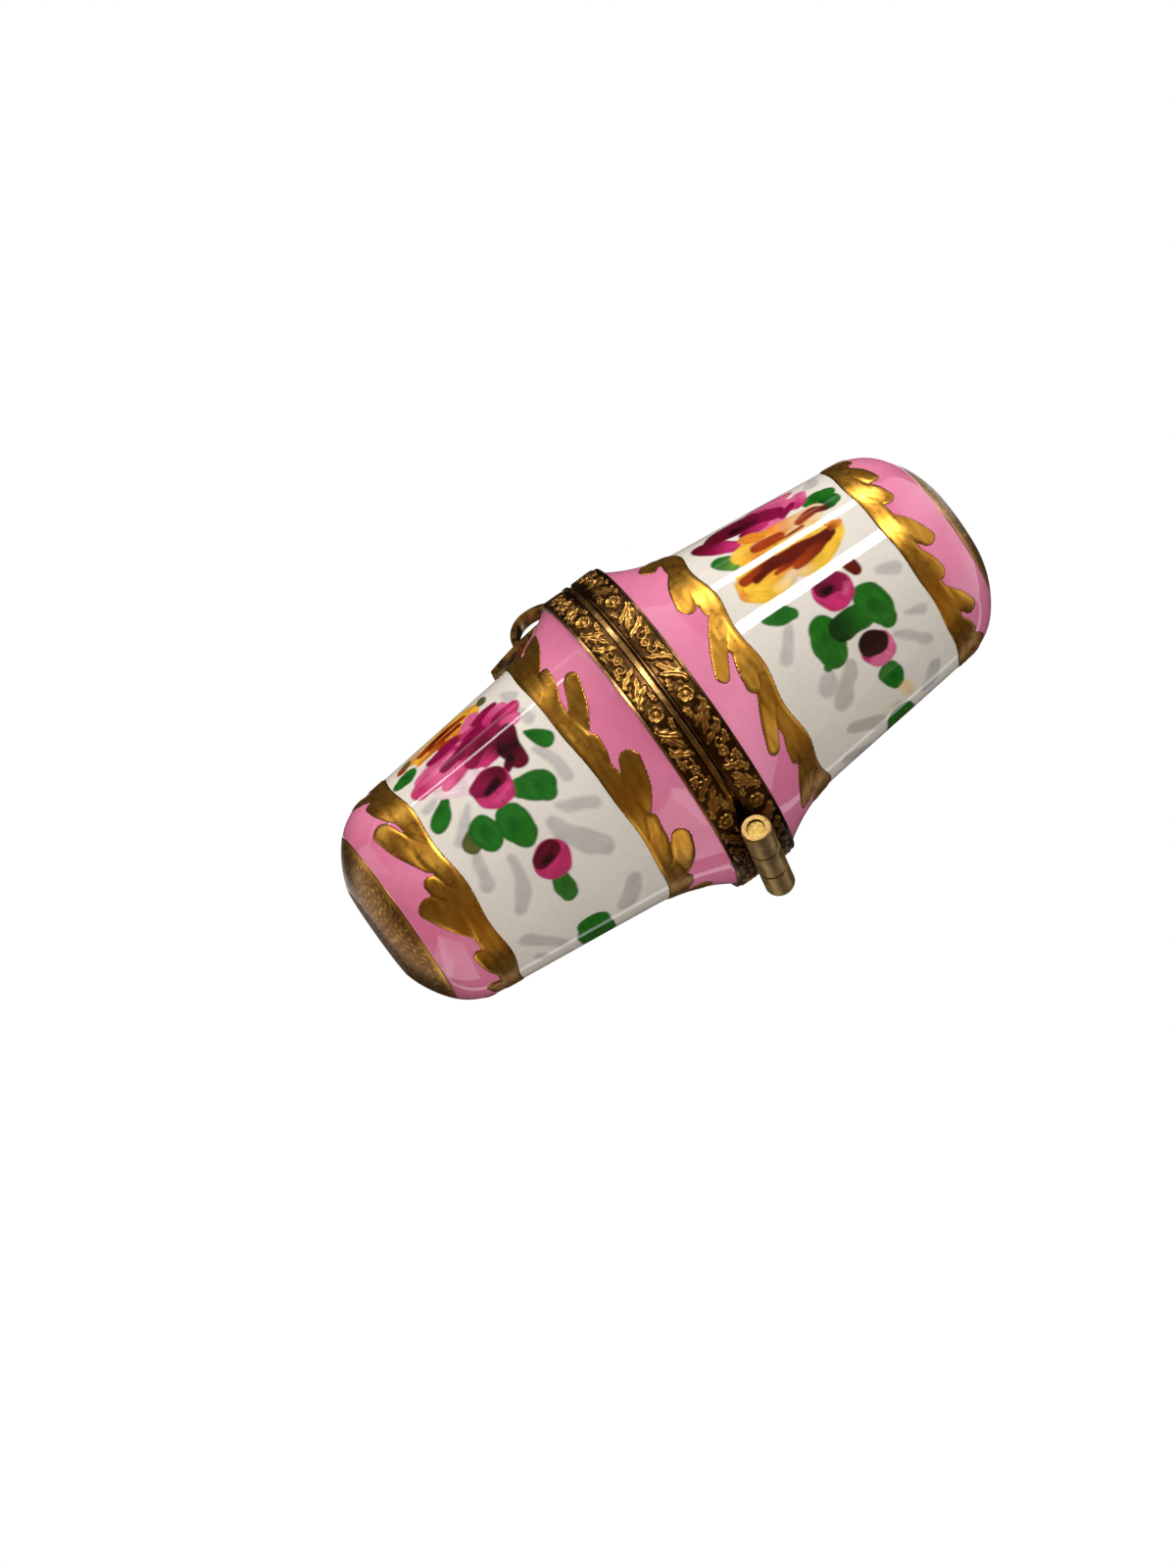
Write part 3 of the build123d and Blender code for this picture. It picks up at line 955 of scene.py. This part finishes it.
def scroll(x, y, centre, radius, turn):
    """Height of a C-scroll: an open ring with a bead at its end."""
    dx, dy = x - centre[0], y - centre[1]
    angle = (np.arctan2(dy, dx) - turn) % TURN
    ring = ease(0.12, 0.04, np.abs(np.hypot(dx, dy) - radius)) * (angle > 1)
    bead_x, bead_y = radius * 0.55 * math.cos(turn), radius * 0.55 * math.sin(turn)
    bead = ease(0.17, 0.08, np.hypot(dx - bead_x, dy - bead_y))
    return np.maximum(ring, bead)


BAND_REPEATS = 8


def band_relief(x, y, ring_length, height, seed):
    """Height, 0 to 1, of rosettes between leaves and scrolls. y is 0 in the band's middle."""
    pitch = ring_length / BAND_REPEATS
    rng = np.random.default_rng(seed)
    tall = height / 2
    relief = np.zeros(x.shape)
    for index in range(BAND_REPEATS):
        dx = (x - (index + 0.5) * pitch + ring_length / 2) % ring_length - ring_length / 2
        near = np.abs(dx) < 0.75 * pitch
        px, py = dx[near], y[near]
        spin = rng.uniform(0, TURN)
        motif = rosette(px, py, 0.72, 6, spin)
        for side in (-1, 1):
            for first, last, width, bend in (
                ((0.75, 0.9), (2.5, -0.8), 0.86, 0.2),
                ((1.6, 0.95), (3.4, -0.6), 0.82, -0.18),
                ((2.7, 0.9), (4.2, -0.85), 0.76, 0.2),
                ((0.8, -0.9), (1.9, -0.45), 0.6, 0.1),
                ((4.9, 0.6), (3.8, 0.75), 0.6, 0.1),
            ):
                slip = rng.uniform(-0.07, 0.07)
                start = (side * first[0], first[1] * tall)
                end = (side * (last[0] + slip), last[1] * tall)
                leaf = carved_leaf(px, py, start, end, width, side * bend)
                motif = np.maximum(motif, rng.uniform(0.82, 1) * leaf)
            motif = np.maximum(motif, 0.8 * scroll(px, py, (side * 4.5, 0.05), 0.34, spin))
            bud = rosette(px - side * pitch / 2, py + 0.1, 0.42, 5, spin)
            motif = np.maximum(motif, 0.85 * bud)
        relief[near] = np.maximum(relief[near], motif)
    ground = 0.26 + 0.03 * noise(x, y, seed + 3, 0.9)
    worn = relief * (0.95 + 0.04 * noise(x, y, seed + 4, 1.1))
    return np.clip(np.sqrt(worn**2 + ground**2), 0, 1)


BRASS_RECESS = srgb(66, 43, 21)
BRASS_MID = srgb(134, 94, 46)
BRASS_HIGH = srgb(196, 145, 72)
BAND_ROWS = 36
BAND_AROUND = 1560
BAND_FLOOR = COLLAR_RADIUS + 0.12
BAND_TOP = BAND_RADIUS + 0.05


def hinge_room(plan_x, y, drop):
    """Where a mount is cut away: along the barrel, and in the scoops beside it."""
    scoop = drop < SCOOP_DEPTH * np.clip((SCOOP_END - np.abs(plan_x)) / SCOOP_LENGTH, 0, 1)
    barrel = (np.abs(plan_x) < BARREL_HALF + 0.15) & (np.hypot(y - HINGE_Y, drop) < BARREL_ROOM)
    return (y > 0) & (scoop | barrel)


def gallery_band(name, half, node, seed):
    """The embossed strip, in the place of the node's plain strip."""
    near, far = sorted(abs(corner.z / MM - SEAM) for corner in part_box(node))
    theta, depth = grid(BAND_AROUND, np.linspace(near, far, BAND_ROWS))
    height = far - near
    y = depth - (near + far) / 2
    relief = band_relief(theta * BAND_RADIUS, y, TURN * BAND_RADIUS, height, seed)
    margin = ease(0, 0.08, height / 2 - np.abs(y))
    radius = BAND_FLOOR + (BAND_TOP - BAND_FLOOR) * relief * margin
    cut = hinge_room(radius * np.cos(theta), radius * np.sin(theta), depth)
    radius = np.where(cut, COLLAR_RADIUS - 0.03, radius)
    colour = blend(BRASS_RECESS, BRASS_MID, ease(0.2, 0.6, relief))
    colour = blend(colour, BRASS_HIGH, ease(0.5, 1, relief))
    # Painted shade: the places cut away for the barrel and its scoops are coloured near black
    colour = np.where(cut[..., None], BRASS_RECESS * 0.4, colour)
    all_radius = np.vstack([radius, np.full((2, BAND_AROUND), COLLAR_RADIUS - 0.06)])
    obj = closed_ring(name, half, with_ends(theta), all_radius, with_ends(depth), with_ends(colour))
    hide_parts(node)
    return obj


# Dress the case

MOUNT_DARK, MOUNT_MID, MOUNT_WORN = srgb(62, 44, 24), srgb(112, 82, 46), srgb(176, 136, 80)
HINGE_DARK, HINGE_WORN = srgb(140, 106, 60), srgb(214, 176, 108)
PIN_DARK, PIN_WORN = srgb(196, 148, 62), srgb(244, 206, 112)
CLASP_DARK, CLASP_WORN = srgb(50, 34, 22), srgb(186, 140, 66)

# Each brass: its dark and bright colour, the noise at which wear starts and ends, its roughness, the
# depth of its grain, and where painted shade darkens it
# Painted shade in the hinge bed, used for both mounts and the gallery bands
BED_SHADE = painted_shade_in_hinge_bed
BRASSES = {
    "base_mount_brass": (MOUNT_MID, MOUNT_WORN, (0.36, 0.66), (0.22, 0.36), 0.3, BED_SHADE),
    "lid_mount_brass": (MOUNT_DARK, MOUNT_MID, (0.36, 0.68), (0.26, 0.42), 0.3, BED_SHADE),
    "hinge_brass": (HINGE_DARK, HINGE_WORN, (0.3, 0.56), (0.28, 0.4), 0.08, painted_shade_between_knuckles),
    "pin_brass": (PIN_DARK, PIN_WORN, (0.3, 0.6), (0.2, 0.34), 0.15, painted_shade_round_pin),
    "clasp_brass": (CLASP_DARK, CLASP_WORN, (0.42, 0.62), (0.12, 0.24), 0.06),
}
SOLIDS = {
    "base_mount_brass": ["base_mount_ring"],
    "lid_mount_brass": ["lid_mount_ring"],
    "hinge_brass": ["base_knuckle_left", "base_knuckle_right", "lid_knuckle"],
    "pin_brass": ["hinge_pin"],
    "clasp_brass": ["clasp_root", "clasp_tongue", "clasp_thumb_loop", "catch_bead"],
}
GALLERY = (srgb(40, 26, 12), None, (0.45, 0.75), (0.26, 0.4), 0.06, BED_SHADE)


def dress(obj, material):
    obj.data.materials.clear()
    obj.data.materials.append(material)


def depth_rows(start, end, step):
    return np.linspace(start, end, max(2, int(round((end - start) / step)) + 1))


def end_path(start):
    """Radii and depths from the start of the gilding over the dome and the flat end."""
    depth = depth_rows(start, SEAM, END_STEP)
    flat = np.linspace(FOOT_RADIUS - 0.15, AXIS_GAP, FLAT_ROWS)
    flat_depth = np.full(len(flat), SEAM + END_LIFT)
    return np.r_[cup_radius(depth), flat], np.r_[depth, flat_depth]


def lining_path(into_wall):
    """Radii and depths down the inside of a cup and over its floor, this far into its wall."""
    depth = depth_rows(LINING_START, SHOULDER[1], LINING_STEP)
    mouth_lift, floor_lift = LINING_LIFT
    lift = mouth_lift + (floor_lift - mouth_lift) * ease(NECK[1], SHOULDER[1], depth)
    side = cup_radius(depth) - WALL - lift + into_wall
    ends = [np.array(point) - HOLLOW_CENTRE for point in (HOLLOW_START, HOLLOW_END)]
    angle = np.linspace(*(math.atan2(end[1], end[0]) for end in ends), CORNER_ROWS)[1:]
    reach = HOLLOW_RADIUS - floor_lift + into_wall
    corner = HOLLOW_CENTRE[0] + reach * np.cos(angle)
    corner_depth = HOLLOW_CENTRE[1] + reach * np.sin(angle)
    floor_depth = [corner_depth[-1]] * 2
    return np.r_[side, corner, FOOT_RADIUS / 2, AXIS_GAP], np.r_[depth, corner_depth, floor_depth]


def lining(half):
    """The smooth white glaze inside a cup."""
    paths = zip(lining_path(SKIN_THICKNESS), lining_path(0))
    radius, depth = (np.r_[hidden, shown[::-1]] for hidden, shown in paths)
    theta, depth = grid(LINING_AROUND, depth)
    obj = closed_ring(f"{half}_white_lining", half, theta, radius[:, None], depth)
    return obj


glaze = glaze_material("painted_glaze", painted=True)
bare_glaze = glaze_material("white_glaze", painted=False)
gilding = gilding_material()
gallery_brass = brass_material("gallery_brass", *GALLERY, grime=0.3)
for half, (neck_edge, end_edge, gilt_start) in ZONES.items():
    for zone, depths, painter in (
        ("pink_neck", depth_rows(MOUNT_WIDTH - 0.1, neck_edge, PINK_STEP), pink_painter),
        ("white_panel", depth_rows(neck_edge, end_edge, PANEL_STEP), panel_painter(SPRAYS[half])),
        ("pink_shoulder", depth_rows(end_edge, gilt_start, PINK_STEP), pink_painter),
    ):
        dress(skin(f"{half}_{zone}", half, cup_radius(depths), depths, painter), glaze)
    radii, depths = end_path(gilt_start)
    dress(skin(f"{half}_gilt_end", half, radii, depths, gilt_painter(radii)), gilding)
    for place, border in BORDERS[half].items():
        dress(gilt_border(f"{half}_gilt_border_{place}", half, GiltShape(*border)), gilding)
    seed = 81 if half == "base" else 91
    dress(gallery_band(f"{half}_embossed_band", half, f"{half}_gallery_band", seed), gallery_brass)
    dress(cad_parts[f"{half}_cup"], bare_glaze)
    dress(lining(half), bare_glaze)
for name, values in BRASSES.items():
    brass = brass_material(name, *values)
    for solid in SOLIDS[name]:
        dress(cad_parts[solid], brass)


# Camera, as in the photograph: the case lies across the frame, its lid to the upper right

CAMERA_AZIMUTH = 118
CAMERA_ELEVATION = -5
AXIS_LEAN = 54.6
CAMERA_DISTANCE = 600
PIXELS_PER_MM = 13.2
FRAME = (1200, 1600)
CASE_PIXEL = (680.3, 742.8)
SENSOR = 36
MIDDLE = Vector((0, 0, SEAM))


def add_camera():
    """Add the camera. Gives its directions to the right, up and back, before it leans over."""
    azimuth, elevation, lean = map(math.radians, (CAMERA_AZIMUTH, CAMERA_ELEVATION, AXIS_LEAN))
    level = Matrix.Rotation(azimuth, 4, "Z") @ Matrix.Rotation(math.pi / 2 - elevation, 4, "X")
    leant = level @ Matrix.Rotation(lean, 4, "Z")
    left = (FRAME[0] / 2 - CASE_PIXEL[0]) / PIXELS_PER_MM
    down = (CASE_PIXEL[1] - FRAME[1] / 2) / PIXELS_PER_MM
    data = bpy.data.cameras.new("camera")
    data.sensor_fit = "AUTO"
    data.sensor_width = SENSOR
    data.lens = PIXELS_PER_MM * CAMERA_DISTANCE / FRAME[1] * SENSOR
    data.clip_start = 0.01
    camera = bpy.data.objects.new("camera", data)
    place = MIDDLE + leant @ Vector((left, down, CAMERA_DISTANCE))
    camera.matrix_world = Matrix.Translation(place * MM) @ leant
    SCENE.collection.objects.link(camera)
    SCENE.camera = camera
    return [level.col[i].to_3d() for i in range(3)]


# Directions as the camera sees them: along the case to the lid, to the camera and, in the picture to
# the upper left, across the case
RIGHT, ALONG, BACK = add_camera()
ACROSS = -RIGHT


def aim(swing, tilt):
    """The direction to the camera, swung across the case and tilted to the lid by these degrees."""
    swing, tilt = math.radians(swing), math.radians(tilt)
    level = BACK * math.cos(swing) + ACROSS * math.sin(swing)
    return (level * math.cos(tilt) + ALONG * math.sin(tilt)).normalized()


def facing(direction, distance_mm):
    """A placing at this distance that looks back at the case, its long side along the case."""
    z = direction
    y = (ALONG - z * ALONG.dot(z)).normalized()
    x = y.cross(z)
    place = (MIDDLE + direction * distance_mm) * MM
    return Matrix.Translation(place) @ Matrix((x, y, z)).transposed().to_4x4()


def sheet(name, size_mm, height_mm=0):
    """A flat oblong mesh round the origin."""
    w, h = size_mm[0] / 2, size_mm[1] / 2
    corners = [(x, y, height_mm) for x, y in ((-w, -h), (w, -h), (w, h), (-w, h))]
    return mesh_object(name, corners, np.array([[0, 1, 2, 3]]))


def add_light(name, direction, distance_mm, size_mm, power, streak):
    """A soft panel light. A streak shows only in reflections, a fill only on matt colour."""
    data = bpy.data.lights.new(name, "AREA")
    data.shape = "RECTANGLE"
    data.size = size_mm[0] * MM
    data.size_y = size_mm[1] * MM
    data.energy = power
    light = bpy.data.objects.new(name, data)
    light.matrix_world = facing(direction, distance_mm)
    light.visible_diffuse = not streak
    light.visible_glossy = streak
    SCENE.collection.objects.link(light)


def add_flag(name, direction, distance_mm, size_mm, colour, far_colour=None):
    """A toned card that only reflections see. It fades to far_colour towards lower swings."""
    card = sheet(name, size_mm)
    card.matrix_world = facing(direction, distance_mm)
    for reach in ("camera", "diffuse", "transmission", "shadow"):
        setattr(card, f"visible_{reach}", False)
    tree = new_tree(name)
    if far_colour is not None:
        across = tree.add("SeparateXYZ", {0: tree.add("TexCoord", {}, "Generated")}, "X")
        colour = tree.mixed(across, colour, far_colour)
    tree.put(tree.shader, {"Base Color": colour, "Roughness": 1})
    dress(card, tree.owner)


def add_world():
    """Soft even light; camera, reflections and glass see plain white."""
    world = bpy.data.worlds.new("studio")
    SCENE.world = world
    tree = Tree(world)
    seen = tree.add("LightPath", {}, "Is Camera Ray")
    for other in ("Is Glossy Ray", "Is Transmission Ray"):
        seen = tree.add("Math", {0: seen, 1: tree.add("LightPath", {}, other)}, operation="MAXIMUM")
    strength = tree.add("MapRange", {"Value": seen, "To Min": WORLD_LIGHT, "To Max": 1})
    tree.put(tree.nodes["Background"], {"Color": (1, 1, 1, 1), "Strength": strength})


WORLD_LIGHT = 0.5
FLOOR_SIZE = 1800
FLOOR_WHITE = 0.45
FADE_START = 60
FADE_END = 330


def add_floor():
    """A pale floor that keeps the object's shadow, fades to white and is clear from below."""
    floor = sheet("floor", (FLOOR_SIZE, FLOOR_SIZE), -FLOOR_DROP)
    tree = new_tree("pale_floor")
    tree.put(tree.shader, {"Base Color": srgb(244, 243, 241), "Roughness": 0.7})
    away = tree.length(tree.places())
    fade = tree.mapped(away, FADE_START * MM, FADE_END * MM, FLOOR_WHITE, 1)
    camera_ray = tree.add("LightPath", {}, "Is Camera Ray")
    seen = tree.add("Math", {0: fade, 1: camera_ray}, operation="MULTIPLY")
    pale = tree.add("MixShader", {0: seen, 1: tree.shader.outputs[0], 2: tree.add("Emission", {})})
    from_below = tree.add("NewGeometry", {}, "Backfacing")
    both = tree.add("MixShader", {0: from_below, 1: pale, 2: tree.add("BsdfTransparent", {})})
    tree.put(tree.nodes["Material Output"], {"Surface": both})
    dress(floor, tree.owner)
    floor.visible_glossy = False


add_world()
add_floor()
CARD_TAN, CARD_BROWN = srgb(178, 148, 108), srgb(46, 34, 22)
# Each light: its swing and tilt, its distance and size, its power, and whether it is a streak
for name, angles, *values in (
    ("soft_key", (62, 38), 420, (260, 260), 0.95, False),
    ("soft_fill", (-30, -10), 450, (260, 260), 0.2, False),
    ("wide_streak", (80, 20), 320, (34, 150), 0.45, True),
    ("near_streak", (34, 18), 320, (54, 145), 0.7, True),
    ("base_streak", (85, -16), 320, (13, 150), 0.055, True),
    ("base_glow", (-84, -39), 320, (330, 190), 0.22, True),
):
    add_light(name, aim(*angles), *values)
# Each card: its swing and tilt, its distance and size, and its colours
for name, angles, *values in (
    ("camera_flag", (-22, 0), 500, (560, 1100), srgb(96, 78, 56), CARD_TAN),
    ("upper_flag", (50, 0), 560, (1250, 1300), srgb(150, 140, 128)),
    ("rear_flag", (136, 0), 520, (720, 1000), CARD_BROWN),
    ("bright_card", (-66, 0), 520, (330, 1000), CARD_TAN, srgb(214, 194, 160)),
    ("under_flag", (-108, 0), 520, (455, 1000), srgb(60, 48, 34)),
    ("low_flag", (-160, 0), 500, (400, 1000), CARD_BROWN),
    ("foot_flag", (0, -72), 520, (600, 600), srgb(120, 98, 72)),
):
    add_flag(name, aim(*angles), *values)

SCENE.view_settings.view_transform = "Standard"
